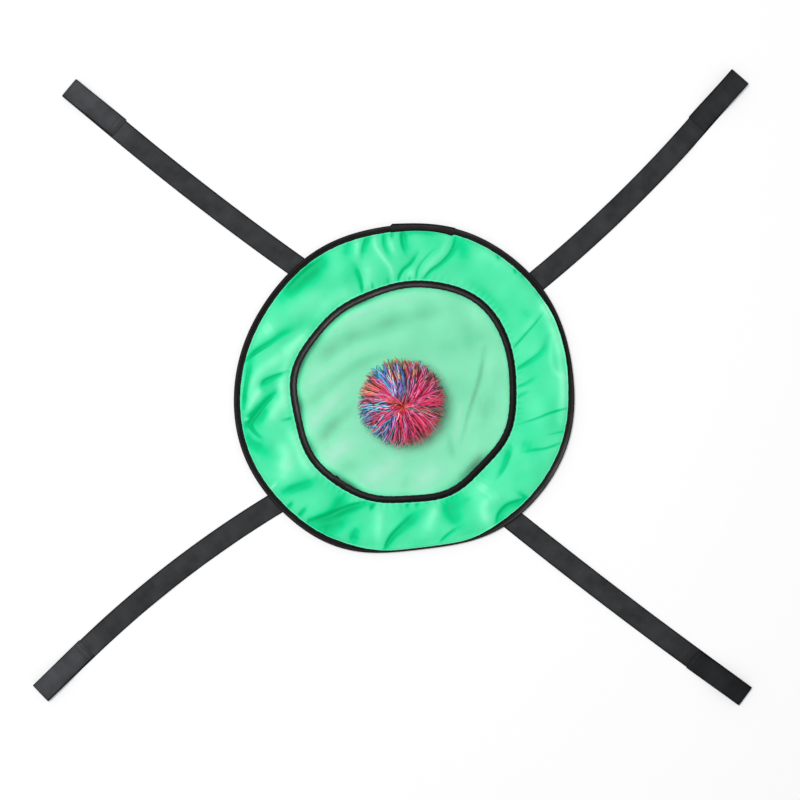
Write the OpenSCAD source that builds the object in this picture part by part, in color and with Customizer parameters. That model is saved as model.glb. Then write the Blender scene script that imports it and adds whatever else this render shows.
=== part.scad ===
// Four-handed bounce disc: a cloth ring with a net centre on a spring hoop, thrown and
// caught by four people who each hold a webbing hand loop, and its yarn ball.
// Millimetres. The origin is the middle of the hoop on the floor, +Z is up, strap 1
// leaves along +X and strap 2 along +Y. The disc lies flat, as it rests when put down.

/* [Rim] */
// Mean diameter over the binding of the rim
rim_d = 378.5; // [330:0.5:440]
// How far the soft rim lies out of round, where 0 is a true circle
rim_warp = 1; // [0:0.1:1.5]
// Height of the flat spring band
band_h = 3.6; // [2.4:0.1:5]
// Thickness of the spring band
band_t = 0.8; // [0.5:0.1:1.2]
// Length of the sleeve that joins the two ends of the band
sleeve_len = 24; // [16:1:40]
// Wall of the sleeve
sleeve_wall = 0.4; // [0.3:0.1:0.6]
// Width of the binding on the rim, seen from above
binding_w = 6.8; // [5.5:0.1:9]
// Length over which the two ends of the binding lap
lap_len = 89; // [40:1:120]

/* [Cloth and net] */
// Mean diameter of the opening in the cloth, to the middle of its tape
net_d = 246.5; // [200:0.5:280]
// Width of the tape round the opening
tape_w = 8; // [6:0.5:12]
// Thickness of all binding tape
tape_t = 0.5; // [0.3:0.05:0.8]
// Thickness of the cloth
cloth_t = 0.4; // [0.2:0.05:0.6]
// Height of the tallest gather in the cloth
gather_h = 3; // [0:0.5:5]
// Thickness of the net
net_t = 0.4; // [0.3:0.05:0.6]
// Width of one strand of the net
net_strand = 1.4; // [0.8:0.1:3]
// Spacing of the strands
net_pitch = 15; // [14:0.5:25]

/* [Straps] */
// Width of the webbing
web_w = 25; // [15:1:40]
// Thickness of the webbing
web_t = 1.5; // [1:0.1:2.5]
// Usual length from the fold at the rim to the stitching of the hand loop
strap_len = 247; // [120:1:400]
// Length of webbing sewn under the cloth, inward from the binding
sewn_len = 14; // [8:1:25]
// Distance from the binding to the fold of the strap
fold_out = 5; // [4.5:0.1:10]

/* [Hand loops] */
// Length of a hand loop, from its fold at the strap to its far end
loop_len = 76; // [50:1:150]
// Height of a hand loop over both plies
loop_h = 9; // [7:0.5:20]
// Length over which the two plies are stitched together
tack_len = 10; // [6:1:20]

/* [Yarn ball] */
// Width of the ball across its yarn
ball_d = 100; // [70:1:130]
// Height of the ball as it sits on the net
ball_h = 80; // [50:1:110]
// Place of the ball along X
ball_x = -11; // [-40:1:40]
// Place of the ball along Y
ball_y = -9; // [-40:1:40]
// Width of the bound waist in the middle of the ball
waist_d = 12; // [8:0.5:20]
// Thickness of the cord that ties the waist
tie_t = 1.8; // [1:0.1:3]

/* [Fits] */
// Gap between plies that are sewn together
ply_gap = 0.05; // [0.02:0.01:0.1]
// Gap between pieces that only lie on each other
lay_gap = 0.1; // [0.05:0.01:0.2]
// Gap between the ball and what it touches, and between its tufts
tuft_gap = 0.3; // [0.2:0.05:0.5]

/* [Hidden] */

$fn = 48;

// Waves of the outlines, each [waves in a turn, height in mm, azimuth of a crest]
RIM_WAVES = [[1, 0.6, 240], [2, 4.2, 160], [3, 2.5, 47], [4, 1.8, 10], [5, 0.8, 65], [6, 0.8, 25],
             [7, 0.4, 50], [8, 0.6, 32]];
TAPE_WAVES = [[2, 4.4, 176], [3, 2, 16], [4, 1.4, 15], [6, 1, 6], [7, 0.3, 42], [8, 0.6, 34],
              [9, 0.7, 12]];
// The opening sits a little off the middle of the hoop
TAPE_CENTRE = [-1.3, -2.5];

// How the straps lie, each [azimuth of its fold at the rim, heading there, how far it has
// turned to the left where its loop begins, how much longer than usual it is]
STRAPS = [[-1.5, -1.6, 9.3, -3], [90.5, 103.5, -4.5, -3.5],
          [179.9, 170.4, 12.3, 11.5], [268.9, 280.2, 2.5, -0.5]];
STRAP_STEPS = 12;

// Gathers in the cloth, each [azimuth, how far it leans by the rim in degrees, half width
// in degrees, share of the tallest, middle and half length as shares of the way out]
GATHERS = [[35, -6, 5, 0.7, 0.3, 0.35], [44, -3, 4, 0.9, 0.25, 0.3], [53, 3, 5, 1, 0.3, 0.35],
           [63, 8, 6, 0.7, 0.35, 0.3], [92, -8, 8, 0.6, 0.6, 0.4], [118, 26, 7, 0.8, 0.5, 0.4],
           [136, 24, 8, 1, 0.5, 0.45], [158, -10, 9, 0.6, 0.45, 0.35], [190, 12, 10, 0.5, 0.6, 0.4],
           [216, -9, 9, 0.7, 0.5, 0.4], [240, 6, 8, 0.6, 0.35, 0.3], [266, 14, 7, 1, 0.55, 0.4],
           [290, -12, 8, 0.6, 0.5, 0.4], [308, 16, 6, 0.8, 0.6, 0.4], [328, 12, 7, 0.9, 0.6, 0.4],
           [350, 8, 8, 0.6, 0.5, 0.4], [12, -8, 8, 0.5, 0.5, 0.4]];

STATIONS = 72;
ANGLES = [for (i = [0 : STATIONS - 1]) i * 360 / STATIONS];

// Binding on the rim: a tape folded over the band, pinching the edge of the cloth
fit_gap = 0.15;
mouth_h = cloth_t / 2 + ply_gap;
cavity_w = band_t + 2 * (ply_gap + sleeve_wall + fit_gap);
cavity_h = band_h / 2 + ply_gap + sleeve_wall + fit_gap;
bulge_w = cavity_w + 2 * tape_t;
bulge_h = cavity_h + tape_t;
band_s = -bulge_w / 2;
rim_z = web_t + lay_gap + bulge_h;
round_r = tape_t;
rise_w = 1;
lap_mid = 40.5;

// Levels of the plies round the opening, from the floor up
net_z = tape_t + ply_gap;
cloth_z = net_z + net_t + ply_gap;
cover_z = cloth_z + cloth_t + ply_gap;
seam_w = 1;
hem_w = 1;
hem_gap = 0.3;
edge_flat = 0.6;

// Hinge at a fold: a round edge in a hollow edge, free to turn square either way
fold_clear = 0.1;
tip_r = web_t / 2 - 0.02;
hollow_r = norm([web_t / 2, web_t / 2 + fold_clear]);

// Hand loop
cut_x = 3;
tack_x = cut_x + tack_len;
bend_x = loop_len - loop_h / 2;
EASE_STEPS = 12;

// Yarn ball
TUFTS = 8;
TUFT_COLUMNS = 12;
ball_z = net_t + tuft_gap;
tuft_in = waist_d / 2 + tuft_gap;
// Outline of a tuft from its parting at the top to its foot, each [share of the way out
// from the waist, share of the height]. The upper yarn hangs over the lower.
TUFT_OUTLINE = [[0, 0.93], [0.16, 0.99], [0.36, 1], [0.58, 0.94], [0.78, 0.82], [0.92, 0.65],
                [0.99, 0.46], [1, 0.32], [0.94, 0.26], [0.85, 0.29], [0.86, 0.16],
                [0.78, 0.05], [0.6, 0], [0, 0]];
TUFT_COLOURS = ["deeppink", "sandybrown", "dodgerblue", "cadetblue", "mediumpurple",
                "crimson", "darkgreen", "mediumvioletred"];
// How far a bunch of strands stands out of the tuft or in, and how much they vary
BUNCH_OUT = 0.03;
BUNCH_IN = 0.06;
BUNCH_VARY = 0.02;

function total(v, i = 0) = i >= len(v) ? 0 : v[i] + total(v, i + 1);
function reversed(v) = [for (i = [len(v) - 1 : -1 : 0]) v[i]];
function wave(a, waves) = rim_warp * total([for (w = waves) w[1] * cos(w[0] * (a - w[2]))]);
function turn_gap(a, b) = abs((((a - b) % 360) + 540) % 360 - 180);
function along(a) = [cos(a), sin(a)];

// A point on the rim, s outward from the outer edge of its binding. Every piece of the rim
// follows the same straight runs between stations, so that they nest at any azimuth.
function station_point(i, s) =
    let (a = i * 360 / STATIONS)
    (rim_d / 2 + wave(a, RIM_WAVES) + s) * along(a);
function rim_point(a, s) =
    let (i = floor(a * STATIONS / 360), u = a * STATIONS / 360 - i)
    (1 - u) * station_point(i, s) + u * station_point(i + 1, s);
// Azimuths of a stretch of the rim: its two ends and each station between them
function stretch(from, to) =
    concat([from],
           [for (i = [floor(from * STATIONS / 360) + 1 : ceil(to * STATIONS / 360) - 1])
               i * 360 / STATIONS],
           [to]);
// A point on the opening, s outward from the middle of its tape
function tape_point(a, s) = TAPE_CENTRE + (net_d / 2 + wave(a, TAPE_WAVES) + s) * along(a);
function raised(p, z) = [p[0], p[1], z];

// Triangles of a skin over sections that all have the same number of points
function skin(sections, closed) =
    let (n = len(sections), m = len(sections[0]))
    [for (i = [0 : (closed ? n : n - 1) - 1], j = [0 : m - 1])
        let (a = i * m + j, b = i * m + (j + 1) % m,
             c = (i + 1) % n * m + (j + 1) % m, d = (i + 1) % n * m + j)
        each [[a, b, c], [a, c, d]]];

// End of a strip that was folded from two rows of m points, closed by pairs across it
function strip_cap(first, m, flip) =
    [for (j = [0 : m - 2])
        let (a = first + j, b = first + j + 1, c = first + 2 * m - 2 - j, d = first + 2 * m - 1 - j)
        each flip ? [[a, b, c], [a, c, d]] : [[a, c, b], [a, d, c]]];

module closed_sweep(sections) {
    points = [for (s = sections) each s];
    polyhedron(points, skin(sections, true), convexity = 6);
}

module open_sweep(sections) {
    m = len(sections[0]) / 2;
    points = [for (s = sections) each s];
    last = (len(sections) - 1) * 2 * m;
    faces = concat(skin(sections, false), strip_cap(0, m, false), strip_cap(last, m, true));
    polyhedron(points, faces, convexity = 6);
}

// Flat ring between two offsets from the middle of the tape
module tape_ring(inner, outer, thickness) {
    linear_extrude(thickness)
        difference() {
            polygon([for (a = ANGLES) tape_point(a, outer)]);
            polygon([for (a = ANGLES) tape_point(a, inner)]);
        }
}

// Upright band that follows the rim, between two offsets and over part of the turn
module rim_band(inner, outer, height, from, to) {
    turns = stretch(from, to);
    translate([0, 0, rim_z - height / 2])
        linear_extrude(height)
            polygon(concat([for (a = turns) rim_point(a, outer)],
                           reversed([for (a = turns) rim_point(a, inner)])));
}

module hoop_spring() {
    end_gap = 0.1;
    color("silver")
        rim_band(band_s - band_t / 2, band_s + band_t / 2, band_h, lap_mid + end_gap,
                 lap_mid + 360 - end_gap);
}

module hoop_sleeve() {
    half_turn = sleeve_len / rim_d * 180 / PI;
    bore_half = band_t / 2 + ply_gap;
    shell_half = bore_half + sleeve_wall;
    color("gray")
        difference() {
            rim_band(band_s - shell_half, band_s + shell_half,
                     band_h + 2 * (ply_gap + sleeve_wall), lap_mid - half_turn, lap_mid + half_turn);
            rim_band(band_s - bore_half, band_s + bore_half, band_h + 2 * ply_gap,
                     lap_mid - 2 * half_turn, lap_mid + 2 * half_turn);
        }
}

// Upper half of the section of the binding, each point [s, height over the middle]
BINDING_OUTER = [[-binding_w, mouth_h + tape_t], [-bulge_w - rise_w, mouth_h + tape_t],
                 [-bulge_w + round_r, bulge_h], [-round_r, bulge_h], [0, bulge_h - round_r]];
BINDING_INNER = [[-binding_w, mouth_h], [-bulge_w - rise_w + tape_t / 2, mouth_h],
                 [-bulge_w + tape_t, cavity_h], [-tape_t, cavity_h], [-tape_t, cavity_h - round_r]];
// Which way each outer point moves when another tape lies over it
BINDING_OUT = [[0, 1], [-0.3, 1], [-0.5, 1], [0.4, 1], [1, 0.4]];

function mirrored(half) = concat(half, [for (p = reversed(half)) [p[0], -p[1]]]);
function grown(half, gap) = [for (i = [0 : len(half) - 1]) half[i] + gap * BINDING_OUT[i]];
function binding_section(a, outer, inner) =
    [for (p = concat(mirrored(outer), reversed(mirrored(inner))))
        raised(rim_point(a, p[0]), rim_z + p[1])];

module outer_binding() {
    half_turn = lap_len / rim_d * 180 / PI;
    lap_angles = stretch(lap_mid - half_turn, lap_mid + half_turn);
    under = grown(BINDING_OUTER, 2 * ply_gap);
    over = grown(BINDING_OUTER, 2 * ply_gap + tape_t);
    color([0.08, 0.08, 0.08]) {
        closed_sweep([for (a = ANGLES) binding_section(a, BINDING_OUTER, BINDING_INNER)]);
        open_sweep([for (a = lap_angles) binding_section(a, over, under)]);
    }
}

// Height of the gathers at an azimuth and a share v of the way from tape to rim
function gathers(a, v) =
    gather_h * sin(180 * v) *
    total([for (g = GATHERS)
        g[3] * exp(-pow(turn_gap(a, g[0] + g[1] * (v - g[4])) / g[2], 2) - pow((v - g[4]) / g[5], 2))]);

CLOTH_ROWS = 5;

function cloth_path(a) =
    let (near = tape_point(a, tape_w / 2 + edge_flat), far = rim_point(a, -binding_w - edge_flat),
         low = cloth_z + cloth_t / 2)
    concat([raised(tape_point(a, -seam_w), low)],
           [for (i = [0 : CLOTH_ROWS])
               let (v = i / CLOTH_ROWS)
               raised(near + (far - near) * v, low + (rim_z - low) * v + gathers(a, v))],
           [raised(rim_point(a, -bulge_w - rise_w), rim_z)]);

module cloth_ring() {
    half = [0, 0, cloth_t / 2];
    color([0.31, 0.93, 0.7])
        closed_sweep([for (a = ANGLES)
            let (path = cloth_path(a))
            concat([for (p = path) p + half], reversed([for (p = path) p - half]))]);
}

module inner_binding_top() {
    color([0.08, 0.08, 0.08])
        translate([0, 0, cover_z]) tape_ring(-tape_w / 2, tape_w / 2, tape_t);
}

module inner_binding_bottom() {
    color([0.08, 0.08, 0.08])
        tape_ring(-tape_w / 2, tape_w / 2, tape_t);
}

// The net lies on the floor and steps up over the lower tape into the seam
module net_panel() {
    hem_out = -tape_w / 2 - hem_gap;
    hem_in = hem_out - hem_w;
    weave_edge = hem_out - hem_w / 2;
    reach = ceil((net_d / 2 + tape_w) / net_pitch);
    hole = net_pitch - net_strand;
    color([0.58, 0.93, 0.76]) {
        linear_extrude(net_t)
            difference() {
                polygon([for (a = ANGLES) tape_point(a, weave_edge)]);
                intersection() {
                    polygon([for (a = ANGLES) tape_point(a, hem_in)]);
                    for (i = [-reach : reach - 1], j = [-reach : reach - 1])
                        translate(net_pitch * [i, j] + net_strand / 2 * [1, 1]) square(hole);
                }
            }
        tape_ring(hem_in, hem_out, net_z + net_t);
        translate([0, 0, net_z]) tape_ring(weave_edge, seam_w, net_t);
    }
}

// Place and heading at a distance along strap n, from its fold at the rim
function free_len(n) = strap_len + STRAPS[n][3];
function strap_heading(n, d) = STRAPS[n][1] + STRAPS[n][2] * d / free_len(n);
function strap_point(n, d) =
    let (s = STRAPS[n], h = strap_heading(n, d), bend_r = free_len(n) / s[2] * 180 / PI)
    rim_point(s[0], fold_out) + bend_r * [sin(h) - sin(s[1]), cos(s[1]) - cos(h)];

// Stands children at a distance along strap n, with X along it and Y across it
module at_strap(n, d) {
    translate(raised(strap_point(n, d), 0)) rotate(strap_heading(n, d)) children();
}

module web_edge(r, width) {
    translate([0, width / 2, web_t / 2]) rotate([90, 0, 0]) cylinder(r = r, h = width);
}

module sewn_end(n) {
    length = fold_out + binding_w + sewn_len;
    color([0.15, 0.15, 0.16])
        at_strap(n, 0) {
            translate([-length, -web_w / 2, 0]) cube([length, web_w, web_t]);
            web_edge(tip_r, web_w);
        }
}

module strap(n) {
    steps = [for (i = [0 : STRAP_STEPS]) free_len(n) * i / STRAP_STEPS];
    function side(d, y) = strap_point(n, d) + y * along(strap_heading(n, d) + 90);
    color([0.2, 0.2, 0.21]) {
        difference() {
            linear_extrude(web_t)
                polygon(concat([for (d = steps) side(d, web_w / 2)],
                               reversed([for (d = steps) side(d, -web_w / 2)])));
            at_strap(n, 0) web_edge(hollow_r, web_w + 2);
        }
        at_strap(n, free_len(n)) web_edge(tip_r, web_w);
    }
}

// Share of the full height that the upper ply has reached at x
function ply_rise(x) = pow(sin(90 * min(1, (x - tack_x) / (0.7 * (bend_x - tack_x)))), 2);
EASE_X = [for (i = [EASE_STEPS - 1 : -1 : 1]) tack_x + (bend_x - tack_x) * i / EASE_STEPS];
BEND = [for (a = [-90 : 15 : 90]) along(a)];

// Side view of a hand loop: webbing folded back over itself, its cut end on top
module loop_outline() {
    gap_h = loop_h - 2 * web_t;
    middle = [bend_x, loop_h / 2];
    outside = concat([[0, 0]], [for (u = BEND) middle + loop_h / 2 * u],
                     [for (x = EASE_X) [x, 2 * web_t + gap_h * ply_rise(x)]],
                     [[tack_x, 2 * web_t], [cut_x, 2 * web_t], [cut_x, web_t], [0, web_t]]);
    inside = concat([[tack_x, web_t]], [for (u = BEND) middle + gap_h / 2 * u],
                    [for (x = EASE_X) [x, web_t + gap_h * ply_rise(x)]]);
    difference() {
        polygon(outside);
        polygon(inside);
    }
}

module hand_loop(n) {
    color([0.2, 0.2, 0.21])
        at_strap(n, free_len(n))
            difference() {
                translate([0, web_w / 2, 0]) rotate([90, 0, 0]) linear_extrude(web_w) loop_outline();
                web_edge(hollow_r, web_w + 2);
            }
}

// Strands bound at the waist, which spread again above and below the tie
module ball_core() {
    neck = waist_d / 2 - tie_t - ply_gap;
    middle = ball_h / 2;
    neck_half = 1.5 * tie_t + ply_gap;
    top = TUFT_OUTLINE[0][1] * ball_h;
    color("mediumvioletred")
        translate([ball_x, ball_y, ball_z])
            rotate_extrude()
                polygon([[0, 0], [waist_d / 2, 0], [waist_d / 2, middle - 2 * neck_half],
                         [neck, middle - neck_half], [neck, middle + neck_half],
                         [waist_d / 2, middle + 2 * neck_half], [waist_d / 2, top - waist_d / 4],
                         [waist_d / 4, top], [0, top - waist_d / 4]]);
}

// Three turns of cord drawn tight round the waist
module ball_tie() {
    color("white")
        translate([ball_x, ball_y, ball_z + ball_h / 2])
            rotate_extrude()
                for (k = [-1 : 1])
                    translate([waist_d / 2 - tie_t / 2, k * tie_t * 0.95]) circle(d = tie_t, $fn = 24);
}

// One tuft of yarn. Its bunches of strands stand out and in, and their tips are ragged.
function bunch_reach(k, j) =
    1 + (j % 2 == 0 ? -BUNCH_IN : BUNCH_OUT) + BUNCH_VARY * sin(137 * j + 71 * k);
function tip_drop(k, j) = BUNCH_VARY * sin(97 * j + 40 * k);

function tuft_section(k, j) =
    let (edge_turn = asin(tuft_gap / 2 / tuft_in), span = 360 / TUFTS - 2 * edge_turn,
         a = k * 360 / TUFTS + edge_turn + span * j / TUFT_COLUMNS,
         tip_r = ball_d / 2 * bunch_reach(k, j))
    [for (p = TUFT_OUTLINE)
        let (drop = p[0] > 0.8 ? tip_drop(k, j) : 0)
        [ball_x, ball_y, ball_z]
            + raised((tuft_in + p[0] * (tip_r - tuft_in)) * along(a), (p[1] + drop) * ball_h)];

module tuft(k) {
    m = len(TUFT_OUTLINE);
    sections = [for (j = [0 : TUFT_COLUMNS]) tuft_section(k, j)];
    faces = concat(skin(sections, false), [[for (i = [m - 1 : -1 : 0]) i]],
                   [[for (i = [0 : m - 1]) TUFT_COLUMNS * m + i]]);
    color(TUFT_COLOURS[k]) polyhedron([for (s = sections) each s], faces, convexity = 4);
}

hoop_spring();
hoop_sleeve();
outer_binding();
cloth_ring();
inner_binding_top();
inner_binding_bottom();
net_panel();
for (n = [0 : 3]) {
    sewn_end(n);
    strap(n);
    hand_loop(n);
}
ball_core();
ball_tie();
for (k = [0 : TUFTS - 1])
    tuft(k);
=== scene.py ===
"""Looks of a four-handed bounce disc and its yarn ball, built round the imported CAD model."""
import math

import bpy
import numpy as np
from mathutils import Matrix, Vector


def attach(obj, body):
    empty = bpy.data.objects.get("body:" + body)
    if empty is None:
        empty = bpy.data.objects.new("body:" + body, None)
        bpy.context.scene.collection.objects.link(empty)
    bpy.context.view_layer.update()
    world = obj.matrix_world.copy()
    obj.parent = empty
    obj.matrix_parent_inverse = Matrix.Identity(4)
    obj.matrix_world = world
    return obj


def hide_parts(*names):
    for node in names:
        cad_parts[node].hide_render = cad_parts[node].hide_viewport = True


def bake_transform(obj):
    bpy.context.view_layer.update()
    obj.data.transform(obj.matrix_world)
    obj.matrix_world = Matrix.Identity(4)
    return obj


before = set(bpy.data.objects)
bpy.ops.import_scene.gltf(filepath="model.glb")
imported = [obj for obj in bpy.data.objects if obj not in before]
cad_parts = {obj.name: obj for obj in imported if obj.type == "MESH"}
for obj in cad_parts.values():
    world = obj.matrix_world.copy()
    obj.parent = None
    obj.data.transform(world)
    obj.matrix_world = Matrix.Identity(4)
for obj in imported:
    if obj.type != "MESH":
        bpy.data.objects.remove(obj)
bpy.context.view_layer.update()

MM = 0.001

# ---------------------------------------------------------------- sizes, in mm, as in part.scad
RIM_D, NET_D = 378.5, 246.5
RIM_WAVES = [(1, 0.6, 240), (2, 4.2, 160), (3, 2.5, 47), (4, 1.8, 10), (5, 0.8, 65),
             (6, 0.8, 25), (7, 0.4, 50), (8, 0.6, 32)]
TAPE_WAVES = [(2, 4.4, 176), (3, 2, 16), (4, 1.4, 15), (6, 1, 6), (7, 0.3, 42), (8, 0.6, 34),
              (9, 0.7, 12)]
TAPE_CENTRE = (-1.3, -2.5)
TAPE_W, TAPE_T = 8, 0.5
BINDING_W, BULGE_W, RIM_Z = 6.8, 3.0, 4.5
LAP_MID, LAP_LEN = 40.5, 89
CLOTH_Z, COVER_Z = 1.2, 1.45
WEB_T, FOLD_OUT, SEWN_LEN = 1.5, 5, 14
# Each strap: azimuth of its fold at the rim, heading there, degrees it turns by, and length
STRAPS = [(-1.5, -1.6, 9.3, 244), (90.5, 103.5, -4.5, 243.5),
          (179.9, 170.4, 12.3, 258.5), (268.9, 280.2, 2.5, 246.5)]
LOOP_LEN, LOOP_H, CUT_X, TACK_X = 76, 9, 3, 13
BALL = (-11, -9)
BALL_D, BALL_H, BALL_Z = 100, 80, 0.7

# The plan grid: square to the camera's frame, one unit is 1.125 mm, its middle is the origin
PLAN_UNIT = 1.125
PLAN_MIDDLE = (405, 390)
PLAN_TURN = math.radians(41.1)


def to_row(right, up):
    """Row-frame x and y of a place to the right of and above the middle of the plan."""
    c, s = math.cos(PLAN_TURN), math.sin(PLAN_TURN)
    return right * c + up * s, up * c - right * s


def plan(points):
    """Row-frame x, y in mm of points given on the plan grid."""
    p = (np.asarray(points, float) - PLAN_MIDDLE) * (PLAN_UNIT, -PLAN_UNIT)
    return np.stack(to_row(p[..., 0], p[..., 1]), -1)


def ray(a):
    a = np.radians(a)
    return np.stack([np.cos(a), np.sin(a)], -1)


def wave(a, waves):
    return sum(h * np.cos(np.radians(k * (a - crest))) for k, h, crest in waves)


def rim_point(a, s):
    return (RIM_D / 2 + wave(a, RIM_WAVES) + s)[..., None] * ray(a)


def tape_point(a, s):
    return (NET_D / 2 + wave(a, TAPE_WAVES) + s)[..., None] * ray(a) + TAPE_CENTRE


def smooth(x, low, high):
    t = np.clip((x - low) / (high - low), 0, 1)
    return t * t * (3 - 2 * t)


def bump(x, middle, half):
    return np.exp(-(((x - middle) / half) ** 2))


def apart(a, b):
    """Angle between two azimuths, in degrees."""
    return np.abs((a - b + 180) % 360 - 180)


def with_z(xy, z):
    return np.concatenate([xy, z[..., None]], -1)


def lengths_along(line, closed=False):
    """Distance along a line of points to each of them, and back to the first if closed."""
    if closed:
        line = np.concatenate([line, line[:1]])
    return np.concatenate([[0], np.cumsum(np.linalg.norm(np.diff(line, axis=0), axis=1))])


def ripple(xy, seed, length):
    """Smooth seeded unevenness, about -1 to 1, whose waves are about length mm long."""
    rng = np.random.default_rng(seed)
    count = 9
    total = 0
    for _ in range(count):
        turn, phase = rng.uniform(0, 2 * math.pi, 2)
        k = 2 * math.pi / (length * rng.uniform(0.7, 1.5))
        along = xy[..., 0] * math.cos(turn) + xy[..., 1] * math.sin(turn)
        total = total + np.sin(k * along + phase)
    return total / math.sqrt(count / 2) / 1.5


# ---------------------------------------------------------------- meshes
def grid(rows, cols, wrap_rows, wrap_cols):
    """Quads of a grid of points, and the row and column of each corner before wrapping."""
    r = np.arange(rows if wrap_rows else rows - 1)
    c = np.arange(cols if wrap_cols else cols - 1)
    r, c = (x.ravel() for x in np.meshgrid(r, c, indexing="ij"))
    rows_of = np.stack([r, r, r + 1, r + 1], -1)
    cols_of = np.stack([c, c + 1, c + 1, c], -1)
    return rows_of % rows * cols + cols_of % cols, rows_of, cols_of


def placed(name, data, location=(0, 0, 0)):
    obj = bpy.data.objects.new(name, data)
    bpy.context.scene.collection.objects.link(obj)
    obj.location = location
    return obj


def piece(name, points, faces, material, body=None, slot=None, closed=True):
    """A smooth mesh object from points in mm and arrays of faces, one array a corner count."""
    points = np.asarray(points, float).reshape(-1, 3) * MM
    faces = [np.asarray(f) for f in faces if len(f)]
    if closed:
        volume = 0.0
        for f in faces:
            for j in range(1, f.shape[1] - 1):
                a, b, c = points[f[:, 0]], points[f[:, j]], points[f[:, j + 1]]
                volume += (a * np.cross(b, c)).sum()
        if volume < 0:
            faces = [f[:, ::-1] for f in faces]
    mesh = bpy.data.meshes.new(name)
    mesh.vertices.add(len(points))
    mesh.vertices.foreach_set("co", points.astype(np.float32).ravel())
    corners = np.concatenate([f.ravel() for f in faces]).astype(np.int32)
    sizes = np.concatenate([np.full(len(f), f.shape[1]) for f in faces])
    mesh.loops.add(len(corners))
    mesh.loops.foreach_set("vertex_index", corners)
    mesh.polygons.add(len(sizes))
    starts = np.concatenate([[0], np.cumsum(sizes)[:-1]]).astype(np.int32)
    mesh.polygons.foreach_set("loop_start", starts)
    mesh.polygons.foreach_set("use_smooth", np.ones(len(sizes), bool))
    mesh.update(calc_edges=True)
    mesh.materials.append(material)
    obj = placed(name, mesh)
    if body:
        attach(obj, body)
    return obj


def point_value(obj, name, values):
    kind = "FLOAT" if values.ndim == 1 else "FLOAT_COLOR"
    attribute = obj.data.attributes.new(name, kind, "POINT")
    if kind == "FLOAT":
        attribute.data.foreach_set("value", values.astype(np.float32))
    else:
        rgba = np.concatenate([values, np.ones((len(values), 1))], 1)
        attribute.data.foreach_set("color", rgba.astype(np.float32).ravel())


def corner_uv(obj, u, v):
    """Lengths along and across a strip, in mm, at each face corner, kept as a UV map."""
    layer = obj.data.uv_layers.new(name="cut")
    uv = np.zeros((len(obj.data.loops), 2), np.float32)
    uv[: u.size, 0] = u.ravel()
    uv[: v.size, 1] = v.ravel()
    layer.data.foreach_set("uv", uv.ravel())


def tubes(name, paths, radii, side, material, sides=6, **options):
    """Closed tubes along paths (tubes, points, 3), whose sections lean on the vectors in side."""
    count, n, _ = paths.shape
    tangent = np.gradient(paths, axis=1)
    tangent /= np.linalg.norm(tangent, axis=-1, keepdims=True)
    up = np.cross(tangent, side)
    up /= np.linalg.norm(up, axis=-1, keepdims=True)
    out = np.cross(up, tangent)
    turn = (np.arange(sides) + 0.5) / sides * 2 * math.pi
    ring = out[:, :, None] * np.cos(turn)[:, None] + up[:, :, None] * np.sin(turn)[:, None]
    points = paths[:, :, None] + radii[:, :, None, None] * ring
    quads = grid(n, sides, False, True)[0]
    base = np.arange(count)[:, None, None] * n * sides
    ends = np.arange(sides)[None, :]
    caps = np.concatenate([base[:, 0] + ends[:, ::-1], base[:, 0] + (n - 1) * sides + ends])
    return piece(name, points, [(quads[None] + base).reshape(-1, 4), caps], material, **options)


# ---------------------------------------------------------------- materials
def linear(r, g, b):
    return tuple(c / 255 / 12.92 if c <= 10 else ((c / 255 + 0.055) / 1.055) ** 2.4
                 for c in (r, g, b))


def shader(name, colour, roughness, **values):
    material = bpy.data.materials.new(name)
    material.use_nodes = True
    bsdf = material.node_tree.nodes["Principled BSDF"]
    bsdf.inputs["Base Color"].default_value = (*linear(*colour), 1)
    bsdf.inputs["Roughness"].default_value = roughness
    for key, value in values.items():
        bsdf.inputs[key.replace("_", " ")].default_value = value
    return material


def node(material, kind, inputs=(), **settings):
    made = material.node_tree.nodes.new("ShaderNode" + kind)
    for key, value in settings.items():
        setattr(made, key, value)
    for key, value in dict(inputs).items():
        if isinstance(value, bpy.types.NodeSocket):
            material.node_tree.links.new(value, made.inputs[key])
        else:
            made.inputs[key].default_value = value
    return made


def maths(material, operation, a, b=0.0, c=0.0):
    return node(material, "Math", {0: a, 1: b, 2: c}, operation=operation).outputs[0]


def sine(material, length, pitch):
    return maths(material, "SINE", maths(material, "MULTIPLY", length, 2 * math.pi / pitch))


def attribute(material, name, output="Fac"):
    return node(material, "Attribute", attribute_name=name).outputs[output]


def ramp(material, factor, stops):
    made = node(material, "ValToRGB", {"Fac": factor})
    elements = made.color_ramp.elements
    for i, (place, colour) in enumerate(stops):
        element = elements[i] if i < 2 else elements.new(place)
        element.position = place
        element.color = (*linear(*colour), 1)
    return made.outputs["Color"]


def noise(material, scale, detail=2.0, vector=None):
    if vector is None:
        vector = node(material, "TexCoord").outputs["Object"]
    inputs = {"Scale": scale, "Detail": detail, "Vector": vector}
    return node(material, "TexNoise", inputs).outputs["Fac"]


def into(material, socket, value):
    material.node_tree.links.new(value, material.node_tree.nodes["Principled BSDF"].inputs[socket])


def raise_by(material, height, distance):
    made = node(material, "Bump", {"Height": height, "Distance": distance})
    into(material, "Normal", made.outputs["Normal"])


def varied(material, colour, factor, low, high):
    """A colour made darker and lighter by a factor from 0 to 1."""
    limits = {"Value": factor, "To Min": low, "To Max": high}
    scale = node(material, "MapRange", limits, clamp=False).outputs[0]
    return node(material, "VectorMath", {0: colour, "Scale": scale}, operation="SCALE").outputs[0]


def cut_lengths(material):
    """Lengths along and across a strip, in mm."""
    uv = node(material, "UVMap", uv_map="cut").outputs["UV"]
    parts = node(material, "SeparateXYZ", {0: uv}).outputs
    return parts["X"], parts["Y"], uv


WEAVE_RELIEF = 0.00001


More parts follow.
